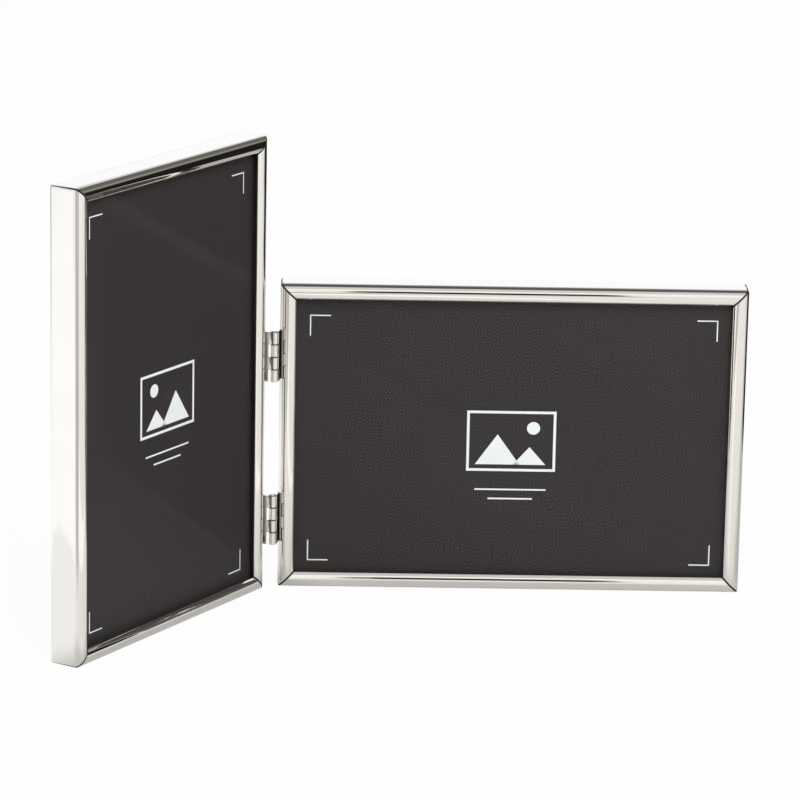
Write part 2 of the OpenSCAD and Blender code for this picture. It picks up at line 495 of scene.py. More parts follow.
def black_velvet():
    """Dark flocked pile that catches light at its edges, with painted sheen where it is brushed."""
    material, recipe, shader = finish(
        "black_velvet", velvet_black, 0.95, **sheen, **{"Specular IOR Level": velvet_shine})
    pile = recipe.noise(pile_per_metre, detail=2)
    brushed = recipe.noise(brushed_per_metre, 3, brushed_stretch).rise(*brushed_onset)
    # Brushed patches get painted sheen; the pile noise varies the tone at random.
    pile_and_sheen_lift = (brushed * brushed_share + pile * pile_share).clamped()
    roughness = velvet_roughness - brushed * brushed_gloss
    dress(recipe, shader, recipe.blend(pile_and_sheen_lift, *velvet_and_sheen_tones), roughness, pile, pile_height)
    return material


velvet = black_velvet()
report(velvet)

# %% [markdown]
# ## Zinc plate
# The turn buttons and their rivets are stamped from steel strip and plated bright. The strip's
# rolled grain still shows as fine streaks, and the plating has a milky bloom. One noise is
# drawn out into streaks, and the other is left cloudy.

# %% Zinc plate
zinc_colour = (0.60, 0.61, 0.62)
zinc_tones = (*zinc_colour, 1), (0.72, 0.73, 0.72, 1)
zinc_roughness = 0.22
grain_roughness = 0.14
bloom_roughness = 0.12
grain_per_metre = 900
grain_stretch = (1, 1, 0.06)
grain_height = 0.006 * mm
bloom_per_metre = 420
bloom_onset = (0.4, 0.75)


def zinc_plate():
    """Bright zinc plate on stamped steel, with a rolled grain and a milky bloom."""
    material, recipe, shader = finish("zinc_plate", zinc_colour, roughness=0.3, metallic=1.0)
    grain = recipe.noise(grain_per_metre, 3, grain_stretch)
    bloom = recipe.noise(bloom_per_metre, detail=3).rise(*bloom_onset)
    roughness = zinc_roughness + grain * grain_roughness + bloom * bloom_roughness
    dress(recipe, shader, recipe.blend(bloom, *zinc_tones), roughness, grain, grain_height)
    return material


zinc = zinc_plate()
report(zinc)

# %% [markdown]
# ## Selecting by place
# In edit mode an operator acts on whatever is selected, so the one thing a script needs is a
# sure way to select. These helpers open a piece in edit mode and pick its faces or edges by
# their place. Two more clean up after an operator: one merges points that coincide, and one
# turns all faces outwards.

# %% Selecting
near = 0.02 * mm
weld_distance = 0.002 * mm


def activate(piece):
    """Selects one piece and nothing else."""
    bpy.ops.object.select_all(action="DESELECT")
    piece.select_set(True)
    bpy.context.view_layer.objects.active = piece


@contextmanager
def editing(piece):
    """Opens a piece alone in edit mode, and closes it again."""
    activate(piece)
    bpy.ops.object.mode_set(mode="EDIT")
    yield
    bpy.ops.object.mode_set(mode="OBJECT")


def pick(kind, test):
    """In edit mode, selects only the edges or faces that pass a test."""
    bpy.ops.mesh.select_mode(type={"edges": "EDGE", "faces": "FACE"}[kind])
    bpy.ops.mesh.select_all(action="DESELECT")
    mesh = bmesh.from_edit_mesh(bpy.context.edit_object.data)
    for item in getattr(mesh, kind):
        if test(item):
            item.select_set(True)
    mesh.select_flush_mode()
    bmesh.update_edit_mesh(bpy.context.edit_object.data)


def along(axis, value):
    """A test for items whose points all lie at that value of one axis."""
    return lambda item: all(abs(vert.co[axis] - value) < near for vert in item.verts)


def weld():
    """In edit mode, merges points that coincide."""
    bpy.ops.mesh.select_all(action="SELECT")
    bpy.ops.mesh.remove_doubles(threshold=weld_distance)


def face_outwards():
    """In edit mode, turns all faces outwards."""
    bpy.ops.mesh.select_all(action="SELECT")
    bpy.ops.mesh.normals_make_consistent(inside=False)


# %% [markdown]
# ## From a primitive to a finished piece
# A primitive gets a name, and its place and size go into its mesh. Modifiers finish it and are
# applied at once: a bevel eases the edges, because a mirror shows each perfectly sharp one, and
# weighted normals keep the broad faces flat to the light.

# %% Finishing
sharp = math.radians(38)


def new_piece(name, add, place, scale=(1, 1, 1), rotation=(0, 0, 0), **shape):
    """Adds a primitive, names it, and moves its place and size into its mesh."""
    add(location=place, rotation=rotation, **shape)
    piece = bpy.context.object
    piece.name = name
    piece.scale = scale
    activate(piece)
    bpy.ops.object.transform_apply(location=True, rotation=True, scale=True)
    return piece


def apply(piece, kind, **settings):
    """Adds a modifier and applies it."""
    activate(piece)
    modifier = piece.modifiers.new(kind.lower(), kind)
    for name, value in settings.items():
        setattr(modifier, name, value)
    bpy.ops.object.modifier_apply(modifier=modifier.name)


def break_edges(piece, width, segments=2):
    """Bevels a piece's sharp edges."""
    apply(piece, "BEVEL", width=width, segments=segments, angle_limit=sharp, limit_method="ANGLE")


def shade(piece):
    """Smooths a piece but keeps its sharp edges, and keeps its broad faces flat to the light."""
    activate(piece)
    bpy.ops.object.shade_smooth_by_angle(angle=sharp)
    apply(piece, "WEIGHTED_NORMAL", mode="FACE_AREA", weight=80, keep_sharp=True)


def ease(piece, width, segments=2):
    """Bevels a piece's sharp edges and smooths it."""
    break_edges(piece, width, segments)
    shade(piece)


# %% [markdown]
# ## From the bench to the frame
# What repeats is modelled once, and copies with meshes of their own are carried to their places.
# A mirrored copy gets its faces turned back. Each piece is then handed over: it takes its
# finish, rides on its body and hides the imported nodes that it stands for.

# %% Copying and handing over


def mark_seams(piece, seam_at):
    """Stores the attribute that darkens a joint, from a function of place."""
    layer = piece.data.attributes.new("seam", "FLOAT", "POINT")
    for vert, item in zip(piece.data.vertices, layer.data):
        item.value = min(max(seam_at(vert.co), 0), 1)


def copy_of(piece, name):
    """A copy of a piece with a mesh of its own."""
    activate(piece)
    bpy.ops.object.duplicate()
    copy = bpy.context.object
    copy.name = name
    return copy


def carry(piece, place):
    """Moves a piece made at the origin into its frame, faces outwards."""
    piece.data.transform(place)
    if place.determinant() < 0:
        piece.data.flip_normals()
    return piece


def hand_over(piece, material, body, slot, *nodes):
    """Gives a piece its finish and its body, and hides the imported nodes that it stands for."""
    piece.data.materials.clear()
    piece.data.materials.append(material)
    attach(piece, body)
    if nodes:
        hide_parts(*nodes)
    return piece


def discard(pieces):
    """Takes away the patterns that were copied."""
    for piece in pieces:
        bpy.data.objects.remove(piece)


# %% [markdown]
# ## The rails' section
# A real rail starts as a flat strip that rollers bend into shape: a wall, a round shoulder, a
# slope down to the lip on the glass, and at the back a bend into a flange. The sizes are the
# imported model's. The slope is rolled over most of its angle and ends in a flat land, which
# brings the lip to its exact place.

# %% Rail section
face_width = 5.25 * mm
shoulder_radius = 2.8 * mm
sheet_thickness = 0.7 * mm
lip_height = 0.5 * mm
bend_radius = 1.4 * mm
flange_width = 1.75 * mm
rolled_share = 0.8

wall_back = rail_depth - bend_radius
shoulder_depth = shoulder_radius - crest_height
slope_width = face_width - shoulder_radius
slope_radius = (slope_width**2 + crest_height**2) / (2 * crest_height)
slope_angle = rolled_share * math.asin(slope_width / slope_radius)
land_width = slope_width - slope_radius * math.sin(slope_angle)
land_drop = crest_height - slope_radius * (1 - math.cos(slope_angle))
print("wall", round(rail_depth / mm, 2), "mm deep, slope's radius", round(slope_radius / mm, 2))

# %% [markdown]
# ## Bending and sawing sheet metal
# A plane is a strip of metal without thickness. Spin rolls its edge round an axis as rollers
# would, and Extrude pushes it on straight. Bisect is the saw: it cuts a whole piece off beyond a
# plane and closes the cut. A Boolean could cut too, but Bisect leaves cleaner faces, and without
# its options it only scores a line.

# %% Bending and sawing
saw_width = 0.0005 * mm


def standing_strip(name, front, back, height):
    """A flat strip at x = 0 that stands along z."""
    middle = (0, (front + back) / 2, height / 2)
    return new_piece(
        name, bpy.ops.mesh.primitive_plane_add, middle, scale=(height, back - front, 1),
        rotation=(0, -math.pi / 2, 0), size=1)


def roll(steps, angle, centre):
    """Rolls the selected edge counterclockwise round an axis along z. Spin turns clockwise."""
    bpy.ops.mesh.spin(steps=steps, angle=-angle, center=(*centre, 0), axis=(0, 0, 1))


def push(x, y):
    """Extrudes the selected edge straight."""
    bpy.ops.mesh.extrude_edges_move(TRANSFORM_OT_translate={"value": (x, y, 0)})


def saw(point, outward):
    """Cuts the whole piece off beyond a plane and closes the cut."""
    bpy.ops.mesh.select_all(action="SELECT")
    bpy.ops.mesh.bisect(
        plane_co=point, plane_no=outward, use_fill=True, clear_outer=True, threshold=saw_width)


def score(point, outward):
    """Scores a line round the whole piece, where a value stored on its points may change."""
    bpy.ops.mesh.select_all(action="SELECT")
    bpy.ops.mesh.bisect(plane_co=point, plane_no=outward, threshold=saw_width)


# %% [markdown]
# ## One rail
# Both edges of the wall are bent first, while the sheet has no thickness, because Solidify then
# keeps it even round every bend. The mitres are sawn and their edges broken. Last, a line is
# scored where the grime of each mitre ends, and the outer corners are rounded by a few cuts.

# %% A rolled rail
shoulder_steps = 30
slope_steps = 18
bend_steps = 12
corner_radius = 1.2 * mm
corner_cuts = 6
mitre_edge = 0.04 * mm
mitre_grime = 0.45 * mm
wall_grime_share = 0.3


def bent_rail(name, length):
    """The rail's sheet, bent but not yet cut, with its thickness."""
    rail = standing_strip(name, shoulder_depth, wall_back, length)
    with editing(rail):
        pick("edges", along(1, shoulder_depth))
        roll(shoulder_steps, math.pi / 2, (shoulder_radius, shoulder_depth))
        roll(slope_steps, slope_angle, (shoulder_radius, slope_radius - crest_height))
        push(land_width, land_drop)
        push(0, lip_height)
        pick("edges", along(1, wall_back))
        roll(bend_steps, -math.pi / 2, (bend_radius, wall_back))
        push(flange_width - bend_radius, 0)
        weld()
        face_outwards()
    wall = min(rail.data.polygons, key=lambda face: face.center.x)
    if wall.normal.x > 0:
        rail.data.flip_normals()
    apply(rail, "SOLIDIFY", thickness=sheet_thickness, offset=-1, use_even_offset=True)
    return rail


def rolled_rail(name, length):
    """A finished rail that stands along z with its outer wall at x = 0."""
    rail = bent_rail(name, length)
    ends = ((0, -1), (length, 1))
    with editing(rail):
        for end, way in ends:
            saw((0, 0, end), (1, 0, way))
        face_outwards()
    break_edges(rail, mitre_edge)
    with editing(rail):
        for end, way in ends:
            score((0, 0, end - way * math.sqrt(2) * mitre_grime), (1, 0, way))
            corner = Vector((corner_radius, 0, end - way * corner_radius))
            for cut in range(corner_cuts):
                lean = math.radians(45) * (cut + 0.5) / corner_cuts
                outward = Vector((-math.cos(lean), 0, way * math.sin(lean)))
                saw(corner + corner_radius * outward, outward)
        bpy.ops.mesh.select_all(action="SELECT")
        bpy.ops.mesh.delete_loose()
    shade(rail)

    def seam_at(place):
        from_mitres = [abs(place.z - place.x), abs(length - place.z - place.x)]
        grime_and_shade = 1 - min(from_mitres) / math.sqrt(2) / mitre_grime
        return grime_and_shade * (wall_grime_share if place.y > shoulder_depth - near else 1)

    mark_seams(rail, seam_at)
    return rail


rail_patterns = {
    length: rolled_rail("rail_pattern", length) for length in (short_side, long_side)
}
print("faces of a rail:", [len(rail.data.polygons) for rail in rail_patterns.values()])

# %% [markdown]
# ## Eight rails from two
# Each frame takes two short rails and two long ones. A pattern of the right length is copied and
# turned to each of its four sides, and from there its frame's matrix takes it to its place.

# %% The eight rails


def rail_places(width, height):
    """Each rail's place in its frame and its length."""
    quarter = math.pi / 2
    half_turn = Matrix.Rotation(2 * quarter, 4, "Y")
    to_the_top = Matrix.Rotation(quarter, 4, "Y")
    to_the_foot = Matrix.Rotation(-quarter, 4, "Y")
    return {
        "hinge_rail": (Matrix.Identity(4), height),
        "outer_rail": (Matrix.Translation((width, 0, height)) @ half_turn, height),
        "top_rail": (Matrix.Translation((0, 0, height)) @ to_the_top, width),
        "bottom_rail": (Matrix.Translation((width, 0, 0)) @ to_the_foot, width),
    }


for side, spec in sides.items():
    for rail_name, (turned, length) in rail_places(spec["width"], spec["height"]).items():
        node = f"{side}_{rail_name}"
        rail = carry(copy_of(rail_patterns[length], f"rolled_{node}"), spec["place"] @ turned)
        hand_over(rail, silver, f"{side}_frame", "silver_plate", node)
    print(side, "frame: four rails")
discard(rail_patterns.values())

# %% [markdown]
# ## Glass and insert
# Both are flat blocks behind the lips. Real panes and cards have edges ground or cut a little
# soft, so a bevel takes each arris off. The pane stops a hair short of the card, because the
# print lies in that gap.

# %% Panes and cards
pane_gap = 0.06 * mm
pane_arris = 0.2 * mm
card_arris = 0.04 * mm


def in_frame(node, side):
    """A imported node's box in its own frame, before the frame was placed."""
    back = sides[side]["place"].inverted()
    points = [back @ vert.co for vert in frame["nodes"][node].data.vertices]
    low = Vector([min(point[axis] for point in points) for axis in range(3)])
    high = Vector([max(point[axis] for point in points) for axis in range(3)])
    return low, high


def slab(name, low, high, arris):
    """A flat block with ground edges, from corner to corner."""
    middle = (low + high) / 2
    block = new_piece(name, bpy.ops.mesh.primitive_cube_add, middle, scale=high - low, size=1)
    ease(block, arris)
    return block


for side, spec in sides.items():
    low, high = in_frame(f"{side}_glass", side)
    high.y -= pane_gap
    pane = carry(slab(f"{side}_pane", low, high, pane_arris), spec["place"])
    hand_over(pane, glass, f"{side}_frame", "glass", f"{side}_glass")
    low, high = in_frame(f"{side}_insert", side)
    card = carry(slab(f"{side}_card", low, high, card_arris), spec["place"])
    hand_over(card, charcoal_card, f"{side}_frame", "insert", f"{side}_insert")
    print(side, "card:", [round(value / mm, 2) for value in high - low], "mm")

# %% [markdown]
# ## The print
# The insert that a frame is sold with carries a printed sign. This one is generic: a picture
# sign, with hills and a sun in a thin border, corner ticks that show how a print lies, and two
# rules. Each shape is a thin plate of ink, cut and joined by hand like paper, so that it stays
# crisp however close the camera comes.

# %% Shapes of ink
facing = (math.pi / 2, 0, 0)


def flat_plate(x, z, width, height):
    """A rectangle of ink about a centre."""
    return new_piece(
        "ink", bpy.ops.mesh.primitive_plane_add, (x, 0, z), (width, height, 1), facing, size=1)


def ink_border(x, z, width, height, line):
    """A rectangular line of ink."""
    border = flat_plate(x, z, width, height)
    with editing(border):
        bpy.ops.mesh.select_mode(type="FACE")
        bpy.ops.mesh.select_all(action="SELECT")
        bpy.ops.mesh.inset(thickness=line, depth=0)
        bpy.ops.mesh.delete(type="FACE")
    return border


def ink_disc(x, z, radius, corners):
    """A disc, or a triangle with its tip up where it has three corners."""
    return new_piece(
        "ink", bpy.ops.mesh.primitive_circle_add, (x, 0, z), rotation=facing,
        vertices=corners, radius=radius, fill_type="NGON")


def ink_hill(x, foot, width, height):
    """A hill with a flat foot."""
    hill = ink_disc(0, 0, 1, 3)
    low = min(vert.co.z for vert in hill.data.vertices)
    high = max(vert.co.z for vert in hill.data.vertices)
    wide = max(vert.co.x for vert in hill.data.vertices)
    stretch = Matrix.Diagonal((width / 2 / wide, 1, height / (high - low), 1))
    onto_ground = Matrix.Translation((x, 0, foot))
    hill.data.transform(onto_ground @ stretch @ Matrix.Translation((0, 0, -low)))
    return hill


# %% [markdown]
# ## Setting out the sign
# All sizes are taken from the middle of the card, except the corner ticks, which are set in from
# its edges. The shapes are joined into one plate, and Solidify gives it the thickness of ink.

# %% The print
ink_thickness = 0.02 * mm
ink_gap = 0.01 * mm
sign_width = 30 * mm
sign_height = 21 * mm
sign_line = 0.9 * mm
ground_height = 2.6 * sign_line
hills = (
    {"middle": -4.6 * mm, "width": 15 * mm, "height": 10.5 * mm},
    {"middle": 6.2 * mm, "width": 11 * mm, "height": 6.2 * mm},
)
sun_right = 7.4 * mm
sun_up = 4.6 * mm
sun_radius = 2.2 * mm
sun_corners = 48
tick_length = 7 * mm
tick_line = 0.4 * mm
tick_inset = 8 * mm
rule_lengths = (24 * mm, 15 * mm)
rule_line = 0.55 * mm
rule_pitch = 3.2 * mm


def corner_ticks(low, high):
    """Two short lines of ink in each corner."""
    half, line = tick_length / 2, tick_line / 2
    ticks = []
    for x, right in ((low.x + tick_inset, 1), (high.x - tick_inset, -1)):
        for z, up in ((low.z + tick_inset, 1), (high.z - tick_inset, -1)):
            ticks.append(flat_plate(x + right * half, z + up * line, tick_length, tick_line))
            upper = z + up * (half + line)
            ticks.append(flat_plate(x + right * line, upper, tick_line, tick_length))
    return ticks


def print_on(side):
    """The whole print of one insert, joined into one thin plate."""
    low, high = in_frame(f"{side}_insert", side)
    x = (low.x + high.x) / 2
    z = (low.z + high.z) / 2
    foot = z - sign_height / 2
    inks = [ink_border(x, z, sign_width, sign_height, sign_line)]
    for hill in hills:
        inks.append(
            ink_hill(x + hill["middle"], foot + ground_height, hill["width"], hill["height"]))
    inks.append(ink_disc(x + sun_right, z + sun_up, sun_radius, sun_corners))
    for row, length in enumerate(rule_lengths, start=2):
        inks.append(flat_plate(x, foot - row * rule_pitch, length, rule_line))
    inks.extend(corner_ticks(low, high))
    activate(inks[0])
    for ink in inks:
        ink.select_set(True)
    bpy.ops.object.join()
    joined = bpy.context.object
    joined.name = f"{side}_print"
    joined.data.transform(Matrix.Translation((0, low.y - ink_gap, 0)))
    apply(joined, "SOLIDIFY", thickness=ink_thickness, offset=1)
    return joined


for side, spec in sides.items():
    printed = carry(print_on(side), spec["place"])
    hand_over(printed, white_ink, f"{side}_frame", "insert")
    print(printed.name, len(printed.data.polygons), "faces")

# %% [markdown]
# ## The hinges
# A hinge leaf is a stamped strip whose fingers are rolled round the pin. It is made the same way
# here: a plane is the plate against the rail's wall, Bisect marks the fingers, and Extrude and
# Spin bend them forward and round the pin. More lines are scored beside the fingers' ends and
# along the plate, where the painted shade will start and end.

# %% A rolled leaf
leaf_height = 17 * mm
leaf_thickness = 0.5 * mm
leaf_depth = 7.45 * mm
leaf_front = -1.05 * mm
finger_pitch = 4.3 * mm
finger_length = 4.1 * mm
finger_count = 4
barrel_radius = 1.25 * mm
barrel_steps = 44
barrel_closes = math.radians(318)
axis_outward = 1.8 * mm
axis_forward = 2.6 * mm
finger_shade_width = 0.16 * mm
crevice_depth = 1.7 * mm
crevice_edge = 0.25 * mm


def rolled_leaf(name, first_finger):
    """A leaf in its frame, with its foot at z = 0 and its plate on the wall at x = 0."""
    leaf = standing_strip(name, leaf_front, leaf_front + leaf_depth, leaf_height)
    starts = [finger * finger_pitch for finger in range(first_finger, finger_count, 2)]
    ends = [start + finger_length for start in starts]

    def finger_edge(edge):
        height = sum(vert.co.z for vert in edge.verts) / 2
        fingers = [start < height < start + finger_length for start in starts]
        return along(1, leaf_front)(edge) and any(fingers)

    with editing(leaf):
        for height in starts + ends:
            for line in (height - finger_shade_width, height, height + finger_shade_width):
                score((0, 0, line), (0, 0, 1))
        for line in (leaf_front + crevice_edge, crevice_depth, crevice_depth + crevice_edge):
            score((0, line, 0), (0, 1, 0))
        pick("edges", finger_edge)
        push(barrel_radius - axis_outward, -axis_forward - leaf_front)
        roll(barrel_steps, -barrel_closes, (-axis_outward, -axis_forward))
        weld()
        face_outwards()
    return leaf, starts, ends


# %% [markdown]
# ## Thickness and painted shade of a leaf
# Solidify gives the sheet its thickness once it is rolled. A small hinge is seen mostly as dark
# slits between bright fingers, so the seam attribute paints that shade with care: full at the
# fingers' ends, by leaf on the plate's front edge and on the inner side of its neck, and faint on
# the face that closes the crevice beside the rail's shoulder.

# %% A finished leaf
leaf_edge = 0.07 * mm
crevice_shade = 0.33


def thick_leaf(name, first_finger, edge_shade, neck_shade):
    """The leaf with its thickness, eased edges and shade painted at its fingers' ends and foot."""
    leaf, starts, ends = rolled_leaf(name, first_finger)
    plate = min(leaf.data.polygons, key=lambda face: abs(face.center.x))
    if plate.normal.x < 0:
        leaf.data.flip_normals()
    apply(leaf, "SOLIDIFY", thickness=leaf_thickness, offset=-1, use_even_offset=True)
    ease(leaf, leaf_edge)
    lean = (barrel_radius - axis_outward) / (axis_forward + leaf_front)

    # Shade painted where the leaf would lie in shadow: finger slits, front edge, neck and crevice.
    def seam_at(place):
        forward = max(leaf_front - place.y, 0)
        inner = place.x > forward * lean - leaf_thickness / 2
        if place.y > leaf_front + 2 * leaf_edge:
            return crevice_shade if inner and place.y < crevice_depth + near else 0
        neck = neck_shade if inner and place.y > near - axis_forward else 0
        if place.y > leaf_front - leaf_edge:
            return edge_shade
        finger_end_shade = 1 - min(abs(place.z - end) for end in starts + ends) / finger_shade_width
        return max(finger_end_shade, neck)

    mark_seams(leaf, seam_at)
    return leaf


# %% [markdown]
# ## Pins, and both hinges
# A pin is a plain rod with its ends turned round. The lying frame's leaf has the first and the
# third finger from below, and the upright one's has the others. One leaf of each kind and one
# pin are made, and copied up to the height of each hinge.

# %% The hinges
pin_radius = 0.7 * mm
pin_corners = 40
pin_edge = 0.25 * mm
# How much shade is painted on each leaf's front edge and on the inner side of its neck.
leaf_plans = {
    "right": {"first_finger": 0, "edge_shade": 1, "neck_shade": 1},
    "left": {"first_finger": 1, "edge_shade": crevice_shade, "neck_shade": 0},
}


def turned_pin(name):
    """The hinge's pin, with its ends turned round."""
    middle = (-axis_outward, -axis_forward, leaf_height / 2)
    rod = new_piece(
        name, bpy.ops.mesh.primitive_cylinder_add, middle,
        vertices=pin_corners, radius=pin_radius, depth=leaf_height)
    ease(rod, pin_edge, segments=4)
    return rod


leaf_patterns = {side: thick_leaf("leaf_pattern", **plan) for side, plan in leaf_plans.items()}
pin_pattern = turned_pin("pin_pattern")
for hinge in ("upper", "lower"):
    up = Matrix.Translation((0, 0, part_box(f"{hinge}_hinge_pin")[0].z))
    for side, pattern in leaf_patterns.items():
        node = f"{hinge}_hinge_{side}_leaf"
        leaf = carry(copy_of(pattern, f"rolled_{node}"), sides[side]["place"] @ up)
        hand_over(leaf, silver, f"{side}_frame", "silver_plate", node)
    rod = carry(copy_of(pin_pattern, f"turned_{hinge}_hinge_pin"), right_place @ up)
    hand_over(rod, silver, "right_frame", "silver_plate", f"{hinge}_hinge_pin")
    print(hinge, "hinge:", len(leaf.data.polygons), "faces on its left leaf")
discard([*leaf_patterns.values(), pin_pattern])

# %% [markdown]
# ## Cards, boards, buttons and rivets
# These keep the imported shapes. The stamped ones are seen close from behind, where a perfectly
# sharp edge looks drawn and not made. A copy of each gets its loose triangles merged and its
# edges eased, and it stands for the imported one. The board's back is lowered by a hair, so that
# the buttons turn free of it.

# %% Eased copies
button_edge = 0.12 * mm
board_edge = 0.5 * mm
filler_edge = 0.15 * mm
rivet_edge = 0.05 * mm
turning_gap = 0.02 * mm
flat_angle = math.radians(0.5)
backs = {"left": left_back, "right": Vector((0, 1, 0))}


def eased_copy(node, width, lowered=None):
    """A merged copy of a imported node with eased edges, and its faces lowered on the side given."""
    copy = copy_of(frame["nodes"][node], f"eased_{node}")
    copy.data.materials.clear()
    with editing(copy):
        weld()
        bpy.ops.mesh.dissolve_limited(angle_limit=flat_angle)
        if lowered:
            pick("faces", lambda face: face.normal.dot(lowered) > 0.99)
            bpy.ops.transform.translate(value=-turning_gap * lowered)
    ease(copy, width)
    return copy


eased = {
    "filler_card": (grey_card, "grey_card", filler_edge),
    "backing_board": (velvet, "velvet_board", board_edge),
    "button_rivets": (zinc, "plated_steel", rivet_edge),
}
for button in ("top", "bottom", "outer", "hinge"):
    eased[f"button_{button}"] = (zinc, "plated_steel", button_edge)

for side in sides:
    for part, (material, slot, width) in eased.items():
        node = f"{side}_{part}"
        body = node if part.startswith("button_") and part != "button_rivets" else f"{side}_frame"
        lowered = backs[side] if part == "backing_board" else None
        hand_over(eased_copy(node, width, lowered), material, body, slot, node)
    print(side, "cards, board, buttons and rivets eased")

# %% [markdown]
# ## The studio
# Polished metal shows its surroundings more than itself, so the studio is planned by looking
# along the reflections. The rails' backs show a white wall that turns into a dark ceiling, their
# fronts the pale table and a light wall with the camera's dark shape in it, and the upright
# frame's top rail a black card behind on the right. All of that is for the mirrors alone.
#
# The table's zones are laid out from the frames' outer feet: light on the left, a bright strip
# before the lying frame's foot, and a dark patch before the upright one's. Fades are pairs of
# places, where a zone starts and where it is full.

# %% Zones before the frames
front_tone = 0.74
left_tone = 1.15
left_azimuth = -37
left_fade = (-20 * mm, 40 * mm)
left_near_loss = 0.22
left_near_fade = ((120 * mm) ** 2, (140 * mm) ** 2)
strip_tone = 1.05
strip_azimuths = (-42, -22)
strip_fades = (8 * mm, 8 * mm)
patch_tone = 0.12
patch_azimuths = (-33, 16)
patch_fades = (60 * mm, 40 * mm)
patch_start = 60 * mm
patch_fade = (0, 60 * mm)


def outer_foot(side):
    """The foot of a frame's outer rail."""
    return sides[side]["place"] @ Vector((sides[side]["width"], 0, 0))


def zones_before(recipe, x, y):
    """The table's tone before the frames, and where its light left side is."""
    left_foot = outer_foot("left")
    right_foot = outer_foot("right")

    def right_of(foot, azimuth):
        """How far a place is to the right of a line from a frame's outer foot."""
        lean = math.radians(azimuth)
        return (x - foot.x) * math.cos(lean) + (y - foot.y) * math.sin(lean)

    def between(foot, azimuths, fades):
        """1 between two lines from a frame's outer foot, with a fade inside each."""
        start = right_of(foot, azimuths[0]).rise(0, fades[0])
        end = right_of(foot, azimuths[1]).rise(-fades[1], 0)
        return start * (1 - end)

    from_foot = (x - left_foot.x) * (x - left_foot.x) + (y - left_foot.y) * (y - left_foot.y)
    left = left_tone - left_near_loss * (1 - from_foot.rise(*left_near_fade))
    bright_left = 1 - right_of(left_foot, left_azimuth).rise(*left_fade)
    tone = recipe.toned(bright_left, front_tone, left)
    tone = recipe.toned(between(right_foot, strip_azimuths, strip_fades), tone, strip_tone)
    patch = between(left_foot, patch_azimuths, patch_fades)
    patch = patch * (left_foot.y - patch_start - y).rise(*patch_fade)
    return recipe.toned(patch, tone, patch_tone), bright_left


print("outer feet:", [[round(value, 4) for value in outer_foot(side)] for side in sides])

# %% [markdown]
# ## Behind and below the frames
# The rails' walls mirror the table behind the frames. It is dim behind the lying frame and
# beside it, and darkest far back. Where a rail stands on the table a shadow is painted on it a
# little, and the rail's foot mirrors that painted dark line.

# %% Zones behind the frames
back_tone = 0.22
back_fade = (130 * mm, 330 * mm)
corner_fades = ((-20 * mm, 40 * mm), (0, 70 * mm))
beside_fades = ((0, 50 * mm), (-60 * mm, 60 * mm))
beside_share = 0.85
far_back_tone = 0.05
far_back_fade = (420 * mm, 600 * mm)
right_contact_loss = 0.16
left_contact_loss = 0.62
contact_fade = (2 * mm, 25 * mm)
contact_zone = ((120 * mm) ** 2, (150 * mm) ** 2)


def painted_contact_shadow(x, y):
    """The share of its tone that the table loses against the frames' feet: a painted shadow."""
    from_right = (y - hinge_wall_low.y).size()
    from_left = ((x - pivot.x) * math.sin(left_turn) - (y - pivot.y) * math.cos(left_turn)).size()
    right_loss = right_contact_loss * (1 - from_right.rise(*contact_fade))
    left_loss = left_contact_loss * (1 - from_left.rise(*contact_fade))
    return right_loss.at_least(left_loss) * (1 - (x * x + y * y).rise(*contact_zone))


def back_share(x, y):
    """How much of a place on the table counts as behind or beside the frames."""
    corner = (x - pivot.x).rise(*corner_fades[0]) * y.rise(*corner_fades[1])
    beside = (x - outer_high.x).rise(*beside_fades[0]) * y.rise(*beside_fades[1])
    return (y.rise(*back_fade) + corner + beside * beside_share).clamped()


# %% [markdown]
# ## The table
# To the camera the table is white, with a trace of the frames' shadows. Mirrors see its zones
# instead, mixed with the real table so that a rail's own shadow still shows in them. Everything
# else is lit by the plain pale table.

# %% Table
table_size = 12.0
table_drop = 0.05 * mm
table_pale = (0.86, 0.86, 0.855)
table_white_to_camera = 0.96
mirror_share = 0.6
wall_tint = (0.965, 0.990, 1.045)


def mirrored_table(recipe):
    """What mirrors see of the table: its tone, its tint and how much of the real one it hides."""
    x, y, _ = recipe.parts(recipe.place())
    tone, bright_left = zones_before(recipe, x, y)
    tone = recipe.toned(back_share(x, y), tone, back_tone)
    far_back = y.rise(*far_back_fade)
    tone = recipe.toned(far_back, tone * (1 - painted_contact_shadow(x, y)), far_back_tone)
    tint = recipe.blend(bright_left, white, (*wall_tint, 1))
    return tone, tint, mirror_share + (1 - mirror_share) * far_back


def studio_table():
    """A pale table, white to the camera and toned for the mirrors."""
    material, recipe = mixture("studio_table")
    plain = recipe.node("ShaderNodeBsdfDiffuse", {}, {"Color": (*table_pale, 1)})
    to_camera, to_mirrors, through_glass = recipe.rays("Camera", "Glossy", "Transmission")
    tone, tint, hidden = mirrored_table(recipe)
    glow = {
        "Color": recipe.blend(to_mirrors, white, tint),
        "Strength": recipe.toned(to_mirrors, 1.0, tone),
    }
    bright = recipe.node("ShaderNodeEmission", {}, glow)
    share = (to_camera + through_glass).clamped() * table_white_to_camera + to_mirrors * hidden
    surface(recipe, share.clamped(), plain, bright)
    return material


table = new_piece(
    "studio_table", bpy.ops.mesh.primitive_plane_add, (0, 0, -table_drop), size=table_size)
table.data.materials.append(studio_table())
report(table.data.materials[0])

# %% [markdown]
# ## Walls and ceiling
# The world is seen by direction alone, so its walls are two ramps by height, one behind the
# frames and one before them, that blend at the sides. Both end in a dark ceiling. Back on the
# right the wall lies in gloom, which gives the upright frame's rails their dark tones. Only
# mirrors see any of this: the camera meets plain white, and all other light is an even soft sky.

